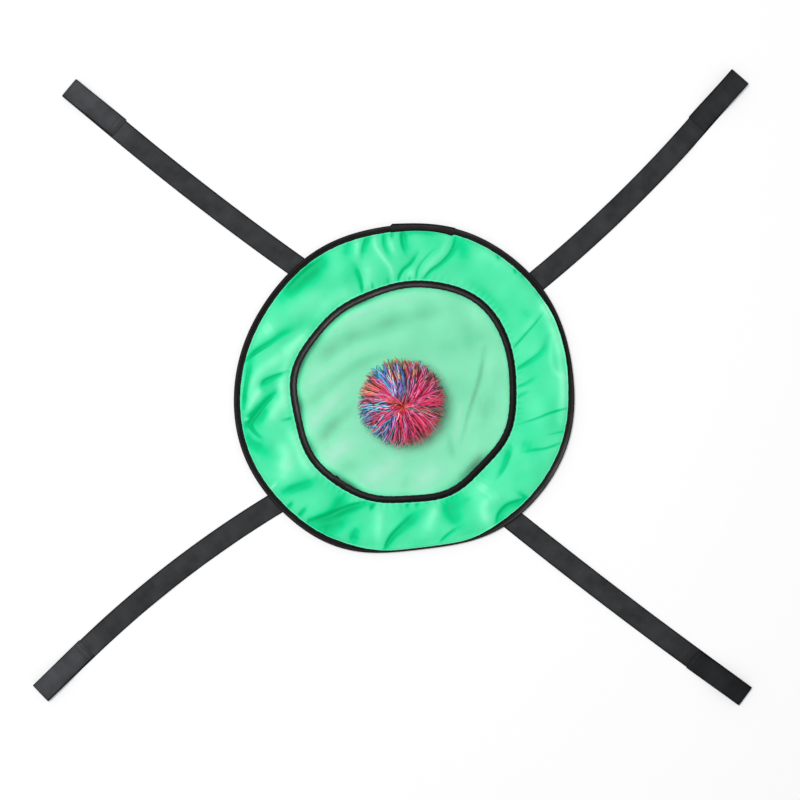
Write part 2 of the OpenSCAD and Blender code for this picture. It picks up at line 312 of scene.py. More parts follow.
def cloth_material():
    m = shader("satin_taffeta", (22, 220, 154), 0.4, Specular_IOR_Level=0.3,
               Specular_Tint=(0.1, 1.0, 0.6, 1.0))
    # the tone attribute paints shade into the folds' valleys and light onto their ridges, with a
    # painted highlight beside each seam
    colour = ramp(m, attribute(m, "tone"), [
        (0.0, (0, 174, 100)), (1.0, (142, 240, 192)), (0.25, (0, 202, 130)),
        (0.5, (70, 214, 153)), (0.75, (100, 226, 171))])
    into(m, "Base Color", varied(m, colour, noise(m, 60), 0.95, 1.05))
    place = node(m, "TexCoord").outputs["Object"]
    parts = node(m, "SeparateXYZ", {0: place}).outputs
    weave_pitch = 0.00032
    weave = maths(m, "MULTIPLY", sine(m, parts["X"], weave_pitch), sine(m, parts["Y"], weave_pitch))
    slubs = node(m, "Mapping", {"Vector": place, "Scale": (900, 60, 1)}).outputs[0]
    height = maths(m, "ADD", maths(m, "MULTIPLY", weave, 0.4), noise(m, 1.0, 3, slubs))
    raise_by(m, height, WEAVE_RELIEF)
    return m


def net_material():
    m = shader("net_yarn", (112, 240, 184), 0.5, Specular_IOR_Level=0.4)
    # the tone attribute paints shade into the net's folds and beside the tape, and light towards its
    # lower left
    colour = ramp(m, attribute(m, "tone"), [
        (0.0, (38, 128, 92)), (1.0, (174, 255, 220)), (0.3, (87, 227, 168)), (0.52, (126, 249, 196))])
    into(m, "Base Color", varied(m, colour, noise(m, 90, 3), 0.95, 1.05))
    raise_by(m, noise(m, 4000), WEAVE_RELIEF)
    return m


def tape_material(name, plain, sheen):
    """Satin tape: its plain colours across it, and a painted highlight added to its colour, as strong
    as its painted shine attribute.
    """
    m = shader(name, (14, 12, 12), 0.42, Specular_IOR_Level=0.04)
    along, across, uv = cut_lengths(m)
    ramp_width = 12
    width = maths(m, "MULTIPLY", across, 1 / ramp_width)
    fade = noise(m, 0.06, 3, uv)
    painted_shine = maths(m, "MULTIPLY", attribute(m, "painted_shine"), fade)
    # painted sheen: a lighter band across the tape, as strong as the painted shine
    light = varied(m, ramp(m, width, sheen), painted_shine, 0.0, 2.0)
    colour = varied(m, ramp(m, width, plain), fade, 0.6, 1.4)
    both = node(m, "VectorMath", {0: colour, 1: light}, operation="ADD").outputs[0]
    into(m, "Base Color", both)
    rib_pitch, warp_pitch = 0.6, 0.35
    height = maths(m, "MULTIPLY_ADD", sine(m, across, warp_pitch), 0.3, sine(m, along, rib_pitch))
    raise_by(m, height, WEAVE_RELIEF)
    return m


def webbing_material():
    m = shader("webbing", (38, 38, 40), 0.46, Specular_IOR_Level=0.04)
    along, across, uv = cut_lengths(m)
    herringbone, yarn_pitch, column_pitch = 1.6, 0.9, 0.8
    twill = maths(m, "MULTIPLY_ADD", maths(m, "PINGPONG", across, herringbone), 1.1, along)
    columns = sine(m, across, column_pitch)
    height = maths(m, "MULTIPLY_ADD", columns, 0.5, sine(m, twill, yarn_pitch))
    worn = noise(m, 0.045, 5, uv)
    tone = maths(m, "MULTIPLY_ADD", height, 0.06, worn)
    tone = maths(m, "MULTIPLY_ADD", noise(m, 0.9, 2, uv), 0.35, tone)
    faded = node(m, "MapRange", {"Value": tone, "To Min": -0.2, "To Max": 1.6}).outputs[0]
    half_width = 12.8
    # the edges are darker: partly the selvage's own weave, partly painted shade where the webbing
    # rounds down at its edges
    from_edge = maths(m, "PINGPONG", across, half_width)
    edge = {"Value": from_edge, "From Min": 0.6, "From Max": 2.4, "To Min": 0.1}
    selvage_and_edge_shade = node(m, "MapRange", edge).outputs[0]
    # the shade attribute paints light and shade on each strap and hand loop
    scale = maths(m, "MULTIPLY", maths(m, "MULTIPLY", faded, attribute(m, "shade")), selvage_and_edge_shade)
    into(m, "Base Color", varied(m, linear(48, 49, 51), scale, 0, 1))
    raise_by(m, height, 0.000012)
    return m


def thread_material():
    m = shader("black_thread", (24, 22, 23), 0.45)
    into(m, "Base Color", varied(m, linear(24, 22, 23), noise(m, 900, 2), 0.5, 1.6))
    raise_by(m, noise(m, 3500), 0.00004)
    return m


def yarn_material():
    m = shader("strand", (220, 40, 100), 0.28, Specular_IOR_Level=0.6)
    tint = attribute(m, "tint", "Color")
    into(m, "Base Color", varied(m, tint, noise(m, 350, 3), 0.75, 1.2))
    raise_by(m, noise(m, 1800, 2), 0.00003)
    return m


def steel_material(name, colour, roughness):
    m = shader(name, colour, roughness, Metallic=0.95)
    into(m, "Base Color", varied(m, linear(*colour), noise(m, 240, 4), 0.8, 1.1))
    place = node(m, "TexCoord").outputs["Object"]
    drawn = node(m, "Mapping", {"Vector": place, "Scale": (120, 120, 9000)}).outputs[0]
    raise_by(m, noise(m, 1.0, 3, drawn), 0.00003)
    return m


CLOTH = cloth_material()
NET = net_material()
# Tape round the opening: its plain colours across it, then its painted sheen across it
TAPE = tape_material(
    "satin_tape",
    [(0.0, (5, 6, 6)), (1.0, (5, 5, 5)), (0.3, (9, 9, 9)), (0.7, (13, 13, 13)), (0.8, (5, 5, 5))],
    [(0.0, (0, 0, 0)), (1.0, (0, 0, 0)), (0.3, (8, 8, 8)), (0.42, (54, 50, 52)),
     (0.5, (86, 79, 82)), (0.58, (56, 52, 54)), (0.68, (16, 15, 15))])
# Rim tape: its plain colours, painted lighter over the steep slope on the spring's inner side against
# the shade there, then its painted sheen
RIM_TAPE = tape_material(
    "satin_rim_tape",
    [(0.0, (5, 6, 6)), (1.0, (9, 9, 9)), (0.14, (7, 7, 7)), (0.25, (20, 19, 19)),
     (0.36, (33, 31, 31)), (0.55, (28, 26, 26)), (0.72, (20, 19, 19))],
    [(0.0, (0, 0, 0)), (1.0, (0, 0, 0)), (0.2, (10, 10, 10)), (0.34, (66, 60, 63)),
     (0.5, (74, 68, 71)), (0.66, (20, 18, 19))])
WEBBING = webbing_material()
THREAD = thread_material()
YARN = yarn_material()

# ---------------------------------------------------------------- cloth
# Folds of the cloth: half widths at the two ends in plan units, heights at the two ends in mm,
# the side with the crisp edge, and x and y of each point on the plan grid. A valley has a height
# below zero. The crisp side is 1 for the left of the line, -1 for its right and 0 for none.
FOLDS = [
    # rim by strap 2, down the left side
    (7, 7, -4, -1.2, 0, 320, 263, 309, 272, 299, 281, 283, 297),
    (9, 9, 0.4, 0.4, 0, 325, 290, 304, 305, 285, 316),
    (7, 6, 0.5, 0.5, 0, 354, 289, 335, 299, 319, 313),
    (4, 4, 0.6, 0.6, 0, 294, 348, 285, 371, 284, 392, 288, 416),
    (4, 4, 0.9, 0.9, 0, 263, 388, 255, 398),
    (4, 5, -0.9, -1.2, 0, 269, 408, 258, 421),
    (1.8, 6.5, -2, -0.5, -1, 246, 361, 257, 352, 270, 344, 283, 335, 300, 326),
    (7, 7, 0.9, 0.8, 0, 262, 333, 274, 325),
    (6, 4, 1.2, 0.9, 0, 282, 355, 294, 346, 308, 333),
    (4, 6, 0.8, 0.8, 0, 249, 393, 255, 379, 266, 367, 285, 356),
    (5, 1.8, -1.5, -1.3, 1, 262, 389, 264, 382, 273, 377, 288, 371),
    (4, 4, 0.8, 0.6, 0, 281, 382, 283, 393),
    (4, 2.2, -0.9, -2, -1, 250, 361, 248, 374, 245, 391, 243, 408),
    (3, 4.6, -1.4, -3, 1, 276, 393, 266, 403, 258, 413, 249, 425),
    (5, 6, 1.2, 0.8, 0, 284, 399, 277, 410, 269, 421),
    (6, 5, 0.8, 1.1, 0, 288, 425, 298, 444, 305, 462, 313, 473),
    (3, 3, 1.1, 0.8, 0, 256, 394, 252, 403, 248, 412),
    (1.6, 1.4, -1.8, -0.5, 0, 250, 423, 254, 431, 264, 440),
    (1.6, 1.4, 1.4, 0.8, 0, 245, 420, 252, 418),
    (4, 6, -1.1, -1.3, 0, 246, 431, 250, 442, 264, 451),
    (1.6, 1.2, -0.3, -1.2, 0, 281, 421, 292, 418),
    (6, 8, 0.4, 1.6, 0, 277, 440, 287, 455, 284, 474),
    (4, 4.5, -1.5, -0.8, 0, 285, 492, 296, 487.5, 307, 484, 316, 480),
    (1.5, 1.5, 1.2, 0.8, 0, 270, 490, 277, 483),
    (1.8, 1.6, -2, -0.6, 0, 287, 509, 293, 502),
    (1.8, 2.2, -1.6, -0.6, 0, 298, 517, 307, 507),
    # lower side
    (8, 6, -1.6, -1.3, 0, 329, 526, 337, 510, 346, 496),
    (5, 4, -3, -1.9, 1, 310, 521, 324, 517, 337, 512, 352, 506, 367, 502),
    (6, 5, -1.1, -0.7, 0, 322, 529, 335, 527, 347, 522),
    (1.6, 1.5, -1.2, -1.6, 0, 371, 509, 375, 502),
    (4.5, 3.5, -1.4, -0.6, 0, 354, 541, 355, 534, 360, 528),
    (4.5, 5, 0.6, 0.7, 0, 379, 545, 379, 528, 380, 508),
    (2, 7.5, -2.8, -1.1, 1, 384, 549, 391, 537, 403, 525, 420, 511),
    (6, 5, 0.4, 1.3, 0, 427, 535, 431, 520, 437, 505),
    (9, 6, -1.3, -1.1, 0, 452, 499, 451, 512, 460, 525),
    (1.2, 3, -1.5, -0.7, 1, 440, 541, 448, 534, 458, 527),
    (5, 5, -0.5, -0.2, 0, 466, 497, 469, 503),
    (5, 5, 0.8, 0.9, 0, 488, 497, 484, 509, 488, 524),
    (6, 6, 0.5, 0.5, 0, 489, 500, 500, 494),
    (6, 6, 0.9, 0.9, 0, 486, 483, 480, 492),
    (1.6, 1.5, -0.9, -1.4, 0, 407, 506, 408, 501),
    (1.8, 1.5, -0.8, -1.4, 0, 417, 506, 418, 500),
    (1.6, 1.5, -0.7, -1.3, 0, 426, 504, 427, 498),
    (3.5, 4, -1.7, -1.5, 1, 496, 524, 499, 514, 506, 506, 515, 502, 527, 499),
    (1.6, 3, -1.1, -0.4, 0, 528, 499, 517, 491),
    # right side
    (4, 2.4, -1.3, -0.8, 1, 511, 448, 505, 465, 498, 478),
    (6, 6, 0.2, 0.3, 0, 510, 474, 534, 464),
    (1.4, 1, -0.4, -1.1, 0, 522, 452, 534, 450, 547, 448, 563, 442),
    (6, 6, -0.6, -0.6, 0, 520, 444, 532, 449),
    (1, 1, -0.3, -0.8, 0, 548, 435, 565, 431),
    (1.1, 1.2, -0.4, -1.6, 1, 519, 424, 537, 418, 552, 412, 571, 407),
    (1.4, 1.5, -0.9, -0.4, 0, 514, 398, 529, 392),
    (1.4, 1.8, -0.9, -0.3, 0, 515, 388, 527, 383, 536, 377),
    (1.1, 6, -1.2, -0.5, 1, 513, 371, 528, 362, 541, 352, 548, 338),
    (3, 2.5, 0.4, 0.6, 0, 553, 330, 551, 358, 556, 373, 569, 379),
    (1, 1, -1.1, -0.7, 0, 511, 351, 524, 336, 534, 325, 543, 314),
    (4, 4, 0.4, 0.4, 0, 523, 333, 535, 319),
    (4, 4, -0.3, -0.3, 0, 473, 285, 490, 298, 502, 312, 509, 328),
    (4, 4, 0.9, 0.9, 0, 541, 302, 553, 318),
    (4, 4, -0.3, -0.3, 0, 524, 310, 529, 319),
    (1.6, 1.6, -1.4, -0.8, 0, 497, 254, 499, 260),
    (1.5, 1.5, -1.1, -0.7, 0, 514, 269, 516, 274),
    (1.5, 1.5, -0.9, -0.6, 0, 521, 274, 524, 278),
    (1.8, 1.8, -1.4, -0.9, 0, 537, 290, 539, 295),
    # top, with the gathers over the opening
    (7, 7, 0.4, 0.5, 0, 477, 250, 508, 268),
    (6, 7, -0.8, -0.5, 0, 456, 240, 464, 250, 462, 262),
    (4, 4, 0.8, 1, 0, 543, 309, 556, 337, 561, 364, 563, 392, 561, 420),
    (1.5, 3.4, -1.9, -1.1, 1, 421, 282, 430, 271, 440, 264, 449, 255, 454, 246, 456, 236),
    (3.2, 3.6, 0.55, 0.5, 0, 418, 280, 431, 264, 442, 253, 449, 239),
    (1, 1, -1, -0.5, 0, 416, 283, 417, 272, 420, 265, 426, 258, 434, 250),
    (1.5, 2.4, -1.8, -0.9, -1, 398, 284, 400, 276, 404, 270, 411, 264, 418, 254),
    (2.5, 3, 0.9, 0.6, 0, 409, 279, 413, 270),
    (3.8, 4, -2.6, -0.5, -1, 402, 229, 403, 243, 406, 254),
    (3, 2.5, -0.8, -0.5, 0, 405, 233, 420, 232, 437, 234),
    (1.2, 1.2, -1.4, -0.9, 0, 409, 282, 410, 276),
    (2.6, 2.3, 0.95, 0.8, 0, 374, 233, 376, 247, 384, 259, 391, 269, 394, 283),
    (2.4, 2.4, -1.3, -0.4, 0, 384, 231, 385, 246, 391, 259),
    (3, 3, 0.8, 0.6, 0, 390, 240, 395, 254),
    (1.6, 1.6, -1.4, -0.7, 0, 392, 230, 392, 238),
    (1.6, 3.5, -1.5, -0.7, -1, 363, 294, 361, 280, 356, 266),
    (5, 5, 0.6, 0.6, 0, 369, 289, 368, 265),
    (3, 4, -1.6, -0.8, -1, 368, 234, 364, 246, 362, 256),
    (2.5, 3, 0.8, 0.5, 0, 357, 240, 357, 257),
    (4, 5, -0.8, -0.5, 0, 349, 240, 346, 257),
    (1.4, 1.3, -1.1, -0.6, 0, 373, 289, 372, 282),
    (1.2, 1.1, -0.9, -0.4, 0, 388, 286, 388, 278),
]


def rounded(line):
    """The line through the same points with its corners rounded, in mm."""
    p = plan(line)
    ends = np.concatenate([[2 * p[0] - p[1]], p, [2 * p[-1] - p[-2]]])
    t = np.arange(5)[:, None] / 5
    made = []
    for a, b, c, d in zip(ends, ends[1:], ends[2:], ends[3:]):
        bend = t * (2 * a - 5 * b + 4 * c - d + t * (3 * (b - c) + d - a))
        made.append(b + t / 2 * (c - a + bend))
    return np.concatenate(made + [p[-1:]])


def fold_height(xy, folds, spread=1.0):
    """Sum of the folds at points, each a soft ridge or valley along its line."""
    flat = xy.reshape(-1, 2)
    total = np.zeros(len(flat))
    for width0, width1, height0, height1, crisp, *line in folds:
        p = rounded(np.reshape(line, (-1, 2)))
        before = lengths_along(p)
        before = before / before[-1]
        # beyond this the fold is about a thousandth of its height or less
        reach = 2.6 * max(width0, width1) * PLAN_UNIT * spread
        near = ((flat > p.min(0) - reach) & (flat < p.max(0) + reach)).all(1)
        q = flat[near]
        best, place, side = np.full(len(q), 1e9), np.zeros(len(q)), np.zeros(len(q))
        for i in range(len(p) - 1):
            d = p[i + 1] - p[i]
            off = q - p[i]
            t = np.clip((off @ d) / (d @ d), 0, 1)
            far = np.linalg.norm(off - t[:, None] * d, axis=-1)
            closer = far < best
            best = np.where(closer, far, best)
            place = np.where(closer, before[i] + t * (before[i + 1] - before[i]), place)
            side = np.where(closer, np.sign(d[0] * off[:, 1] - d[1] * off[:, 0]), side)
        width = (width0 + (width1 - width0) * place) * PLAN_UNIT * spread
        width = width * np.where(side * crisp > 0, 0.5, 1.0)
        fade = 0.45 + 0.55 * smooth(place, 0, 0.25) * (1 - smooth(place, 0.75, 1))
        height = (height0 + (height1 - height0) * place) * fade
        total[near] += height * np.exp(-((best / width) ** 2))
    return total.reshape(xy.shape[:-1])


CLOTH_COLUMNS, CLOTH_ROWS, CLOTH_THICK = 1440, 76, 0.3
# Share of a fold's height that is in the shape, its gain in the shade painted into the tone, and the
# plain tone
FOLD_LIFT, FOLD_SHADE, PLAIN_TONE = 0.55, 0.8, 0.52
# The cloth stays above this height, and eases towards it over this much
CLOTH_LOW, CLOTH_EASE = 0.7, 0.6


def make_cloth():
    a = np.arange(CLOTH_COLUMNS) * 360 / CLOTH_COLUMNS
    u = np.linspace(0, 1, CLOTH_ROWS)
    # share of the way from the opening's tape to the rim, with closer rows at both
    v = 0.5 * u + 0.5 * (0.5 - 0.5 * np.cos(math.pi * u))
    edge = tape_edge(a)
    far_s = np.maximum(edge + 0.5, -BULGE_W - 0.4)
    near = tape_point(a, np.float64(TAPE_W / 2 + 0.3))
    far = rim_point(a, far_s)
    xy = near[:, None] + (far - near)[:, None] * v[None, :, None]
    width = np.linalg.norm(far - near, axis=1)[:, None]
    from_tape, from_rim = v * width, (1 - v) * width
    # the stitched edge of the rim tape covers the last of the cloth
    tail = (far_s - edge)[:, None]
    folds = fold_height(xy, FOLDS)
    # painted shade and light of the folds: darker in valleys, lighter on ridges, with broad uneven
    # patches
    shade = 0.9 * folds + 0.3 * fold_height(xy, FOLDS, 1.8) + 0.15 * ripple(xy, 8, 40)
    free = smooth(from_tape, 0, 5) * smooth(from_rim, tail, tail + 5)
    held = smooth(from_tape, 0, 2.5) * smooth(from_rim, tail, tail + 4)
    swell = 1.6 * np.sin(math.pi * v) + 0.15 * ripple(xy, 5, 30) + 0.02 * ripple(xy, 6, 10)
    turns = np.radians(a)[:, None]
    pucker_tape = np.sin(turns * 118 + 3 * np.sin(turns * 7)) * bump(from_tape, 2, 4)
    pucker_rim = np.sin(turns * 150 + 4 * np.sin(turns * 5)) * bump(from_rim, 3, 4)
    pucker = 0.16 * pucker_tape + 0.13 * pucker_rim
    lift = (folds * FOLD_LIFT) * free + (swell + pucker) * held
    base = CLOTH_Z + (RIM_Z - CLOTH_Z) * smooth(v, 0, 1)
    z = base + lift
    eased = CLOTH_LOW + CLOTH_EASE * np.exp((z - CLOTH_LOW - CLOTH_EASE) / CLOTH_EASE)
    z = np.where(z < CLOTH_LOW + CLOTH_EASE, eased, z)
    # where the tape rolls outward, the cloth climbs over the spring to the outer edge
    s = far_s[:, None] - from_rim
    under_tape = smooth(s, edge[:, None] - 0.4, edge[:, None] + 0.4)
    climb = RIM_Z + over_spring(s) - 0.25 - 0.17 * under_tape
    near_rim = smooth(s, -10, -6)
    climb = climb * near_rim + z * (1 - near_rim)
    z = z + (np.maximum(z, climb) - z) * smooth(rolled(a), 0.05, 0.35)[:, None]
    # painted highlight: a thin pale line in the cloth beside each seam
    pale = bump(from_tape, 0.5, 0.7) * 0.2 + bump(from_rim, tail + 0.5, 0.7) * 0.3
    seen = smooth(from_tape, 0, 1.5) * smooth(from_rim, tail, tail + 1.5)
    tone = PLAIN_TONE + 0.5 * np.tanh(FOLD_SHADE * shade * seen) + pale
    hem = with_z(tape_point(a, np.float64(-1.0)), np.full(CLOTH_COLUMNS, CLOTH_Z))
    points = np.concatenate([hem[:, None], with_z(xy, z)], 1)
    tone = np.concatenate([tone[:, :1], tone], 1)
    quads = grid(CLOTH_COLUMNS, CLOTH_ROWS + 1, True, False)[0]
    obj = piece("cloth_skirt", points, [quads], CLOTH, closed=False)
    point_value(obj, "tone", np.clip(tone, 0, 1).ravel())
    if obj.data.polygons[0].normal.z < 0:
        obj.data.flip_normals()
    thick = obj.modifiers.new("thickness", "SOLIDIFY")
    thick.thickness, thick.offset = CLOTH_THICK * MM, 0
    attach(obj, "disc")
    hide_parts("cloth_ring")


# ---------------------------------------------------------------- net
NET_PITCH, NET_STRAND, NET_THICK = 0.9, 0.5, 0.2
# Half the distance between the middles of the two layers of yarns
NET_LAYER = 0.05
NET_FOLDS = [
    (13, 6, -0.9, -0.5, 0, 304, 362, 328, 352, 354, 336, 379, 327, 402, 320, 450, 309),
    (8, 6, -1, -0.4, 0, 300, 407, 318, 397, 336, 383, 351, 369, 367, 360, 387, 352),
    (8, 7, -1.1, -0.8, 0, 316, 447, 331, 429, 344, 416, 355, 402),
    (11, 9, -0.8, -0.3, 0, 338, 473, 356, 459, 372, 452, 387, 444),
    (5, 5, -0.6, -0.4, 0, 404, 488, 408, 474),
    (2.6, 2.3, -0.9, -0.9, 0, 485, 348, 479, 380, 471, 406, 461, 442),
    (8, 7, -0.32, -0.28, 0, 466, 322, 470, 352),
    (4, 4, -0.5, -0.5, 0, 448, 434, 454, 458),
    (7, 7, -0.35, -0.35, 0, 492, 396, 485, 422),
    (5, 5, -0.8, -0.8, 0, 486, 450, 470, 466, 452, 482),
    (8, 7, 0.8, 0.6, 0, 326, 330, 374, 306, 432, 293),
    (7, 7, 0.8, 0.3, 0, 304, 388, 328, 370, 354, 352, 394, 342),
    (7, 6, 1.1, 0.9, 0, 307, 432, 328, 406, 347, 385),
    (10, 9, 1.1, 0.9, 0, 322, 463, 354, 441),
    (10, 8, 1.2, 0.8, 0, 365, 481, 401, 461),
    (9, 8, 0.9, 0.7, 0, 417, 483, 444, 467),
    (4, 4, 0.8, 0.6, 0, 456, 442, 461, 406),
    (4, 4, 0.6, 0.5, 0, 490, 358, 488, 385),
]


def from_opening(xy):
    """How far each point is inside the middle of the opening's tape, in mm."""
    d = xy - TAPE_CENTRE
    a = np.degrees(np.arctan2(d[..., 1], d[..., 0]))
    return NET_D / 2 + wave(a, TAPE_WAVES) - np.linalg.norm(d, axis=-1)


# Painted shade beside the tape: azimuth on the plan, half width in degrees, and depth
NET_SHADE = [(176, 75, 0.42), (122, 20, 0.28), (240, 9, 0.4), (305, 14, 0.24)]


def net_height(xy):
    """Height of the net, its tone, with shade painted into its folds and beside the tape, and the
    width of its strands."""
    inside = from_opening(xy)
    from_ball = np.linalg.norm(xy - np.array(BALL), axis=-1)
    free = smooth(inside, 5, 16) * smooth(from_ball, 38, 58)
    folds = fold_height(xy, NET_FOLDS)
    flat = 0.24 + 0.5 * smooth(-inside, -9, -4)
    height = flat + free * np.maximum(1.1 + folds + 0.25 * ripple(xy, 21, 30), 0.05)
    d = xy - TAPE_CENTRE
    on_plan = np.degrees(np.arctan2(d[..., 1], d[..., 0]) + PLAN_TURN)
    # painted shade of the tape on the net, most on the left
    dark = 0.13
    for middle, half, depth in NET_SHADE:
        dark = dark + depth * bump(apart(on_plan, middle), 0, half)
    beside = dark * bump(inside, 3.5, 5.5)
    # painted light: the net is lighter towards its lower left on the plan and darker towards its
    # upper right, more so away from its middle
    painted_side_light = np.cos(np.radians(on_plan - 225)) * smooth(np.linalg.norm(d, axis=-1), 0, 90)
    tone = 0.54 + 0.36 * folds - 0.9 * beside + 0.04 * ripple(xy, 22, 45) + 0.08 * painted_side_light
    # the strands are widened as far as the painted shade beside the tape reaches, so that band shows
    # less of the white floor and looks darker
    width = np.minimum(NET_STRAND * (1 + 1.5 * beside), 0.97 * NET_PITCH)
    return height, tone, width


def make_net():
    """A fine mesh of two crossing layers of yarns that are bonded where they cross."""
    reach, step, hem, sides = NET_D / 2 + 12, 2.4, 0.5, 4
    lines = np.arange(-reach, reach, NET_PITCH)
    run = np.arange(-reach, reach, step)
    first = 0
    points_all, quads_all, caps_all, tone_all = [], [], [], []
    c, s = math.cos(PLAN_TURN), math.sin(PLAN_TURN)
    across = np.array([[c, -s], [s, c]])
    for way in (0, 1):
        for line in lines:
            local = np.stack([run, np.full_like(run, line)], -1)
            if way:
                local = local[:, ::-1]
            xy = local @ across + TAPE_CENTRE
            inside = from_opening(xy) > hem
            if inside.sum() < 3:
                continue
            xy = xy[inside]
            height, tone, width = net_height(xy)
            tone_all.append(np.repeat(tone, sides))
            heading = across[way]
            path = with_z(xy, height + (NET_LAYER if way else -NET_LAYER))
            side = np.array([-heading[1], heading[0], 0]) * width[:, None] / 2
            up = np.array([0, 0, NET_THICK / 2])
            ring = np.stack([path - side - up * 0.6, path + side - up * 0.6,
                             path + side * 0.7 + up, path - side * 0.7 + up], 1)
            points_all.append(ring.reshape(-1, 3))
            quads_all.append(grid(len(path), sides, False, True)[0] + first)
            ends = np.arange(sides)
            first += sides * len(path)
            caps_all.append(np.stack([ends[::-1] + first - sides * len(path), ends + first - sides]))
    points = np.concatenate(points_all)
    obj = piece("net_centre", points, [np.concatenate(quads_all), np.concatenate(caps_all)], NET)
    point_value(obj, "tone", np.clip(np.concatenate(tone_all), 0, 1))
    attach(obj, "disc")
    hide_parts("net_panel")


# ---------------------------------------------------------------- tapes
def ring_piece(name, section, closed, material, across_from=0.0, **options):
    """A sweep of a section (columns, points, 3) round the disc or over part of it."""
    rows, m = section.shape[:2]
    quads, r, c = grid(rows, m, closed, True)
    faces = [quads]
    if not closed:
        ends = np.arange(m)
        faces.append(np.stack([ends[::-1], (rows - 1) * m + ends]))
    obj = piece(name, section, faces, material, **options)
    lengths = lengths_along(section[:, 0], closed=True)
    widths = lengths_along(section[0], closed=True)
    corner_uv(obj, lengths[r], widths[c] + across_from)
    return obj


def give_painted_highlight(obj, a, painted_shine):
    """Gives each point of a ring_piece the painted highlight strength of its place round the disc."""
    points = len(obj.data.vertices) // len(a)
    point_value(obj, "painted_shine", np.repeat(painted_shine(a + math.degrees(PLAN_TURN)), points))


def opening_painted_highlight(on_plan):
    """Painted highlight on the tape round the opening, strongest on the upper left."""
    return (0.5 + 0.5 * np.cos(np.radians(on_plan - 140))) ** 1.3 + 0.02


def rim_painted_highlight(on_plan):
    """Painted highlight on the rim tape: strongest at the lower right, a little at the top and on the
    left.
    """
    painted_highlights = [(328, 23, 0.9), (80, 30, 0.3), (195, 60, 0.16)]
    return sum(painted_shine * bump(apart(on_plan, middle), 0, half) for middle, half, painted_shine in painted_highlights)


def swept(a, point_of, s, z):
    """Section points at azimuths a: s is the outward place and z the height, (len(a), m)."""
    s, z = np.broadcast_arrays(s, z)
    s = np.broadcast_to(s, (len(a), s.shape[-1]))
    z = np.broadcast_to(z, s.shape)
    return with_z(point_of(np.broadcast_to(a[:, None], s.shape), s), z)


# Half section of the rim tape, from the stitched edge over the spring to the outer edge
RIM_TOP = [(-7.1, 0.55), (-7.0, 0.74), (-6.2, 0.8), (-5.0, 0.7), (-4.1, 0.85), (-3.4, 1.5),
           (-2.9, 2.3), (-2.3, 2.75), (-1.5, 2.92), (-0.8, 2.78), (-0.25, 2.3), (0.0, 1.5),
           (0.05, 0.7)]
RIM_INNER = [(-6.8, 0.24), (-4.2, 0.24), (-3.6, 0.5), (-3.0, 1.2), (-2.5, 2.1), (-1.5, 2.4),
             (-0.7, 2.1), (-0.45, 1.0)]


def over_spring(s):
    """Height of the rim tape's outer face over the middle of the spring."""
    rows = np.array(RIM_TOP)
    return np.interp(s, rows[:, 0], rows[:, 1])


def rim_section(a):
    """Section of the rim tape, whose upper ply starts at tape_edge(a)."""
    def half(rows, upper):
        p = np.array(rows)
        s = np.broadcast_to(p[:, 0], (len(a), len(p)))
        z = np.broadcast_to(p[:, 1], s.shape)
        if not upper:
            return s, -z
        share = np.maximum(rolled(a), 0)[:, None]
        pulled = np.minimum(s, -ROLL_TO) * (1 - 0.98 * share) - ROLL_TO * 0.98 * share
        pulled = np.where(s < -ROLL_TO, pulled, s)
        drop = p[:, 1] - over_spring(p[:, 0])
        return pulled, np.where(share > 0.02, over_spring(pulled) + drop, z)
    top_s, top_z = half(RIM_TOP, True)
    low_s, low_z = half(RIM_TOP, False)
    in_s, in_z = half(RIM_INNER, True)
    un_s, un_z = half(RIM_INNER, False)
    s = np.concatenate([top_s, low_s[:, ::-1], un_s, in_s[:, ::-1]], 1)
    z = np.concatenate([top_z, low_z[:, ::-1], un_z, in_z[:, ::-1]], 1)
    uneven = 0.08 * np.sin(np.radians(a) * 61) + 0.06 * np.sin(np.radians(a) * 97 + 1)
    s = s + np.where(s > -3.5, 0, uneven[:, None])
    return swept(a, rim_point, s, z + RIM_Z)


ROLL_TO = 2.3


def rolled(a):
    """1 where the rim tape rolls outward, so that only ROLL_TO mm of it shows from above."""
    full = smooth(a, 204, 225) * (1 - smooth(a, 249, 269))
    part = smooth(a, 314, 332) * (1 - smooth(a, 344, 356))
    return full + 0.4 * part


def tape_edge(a):
    """Outward place of the stitched edge of the rim tape."""
    return -BINDING_W + (BINDING_W - ROLL_TO) * rolled(a)


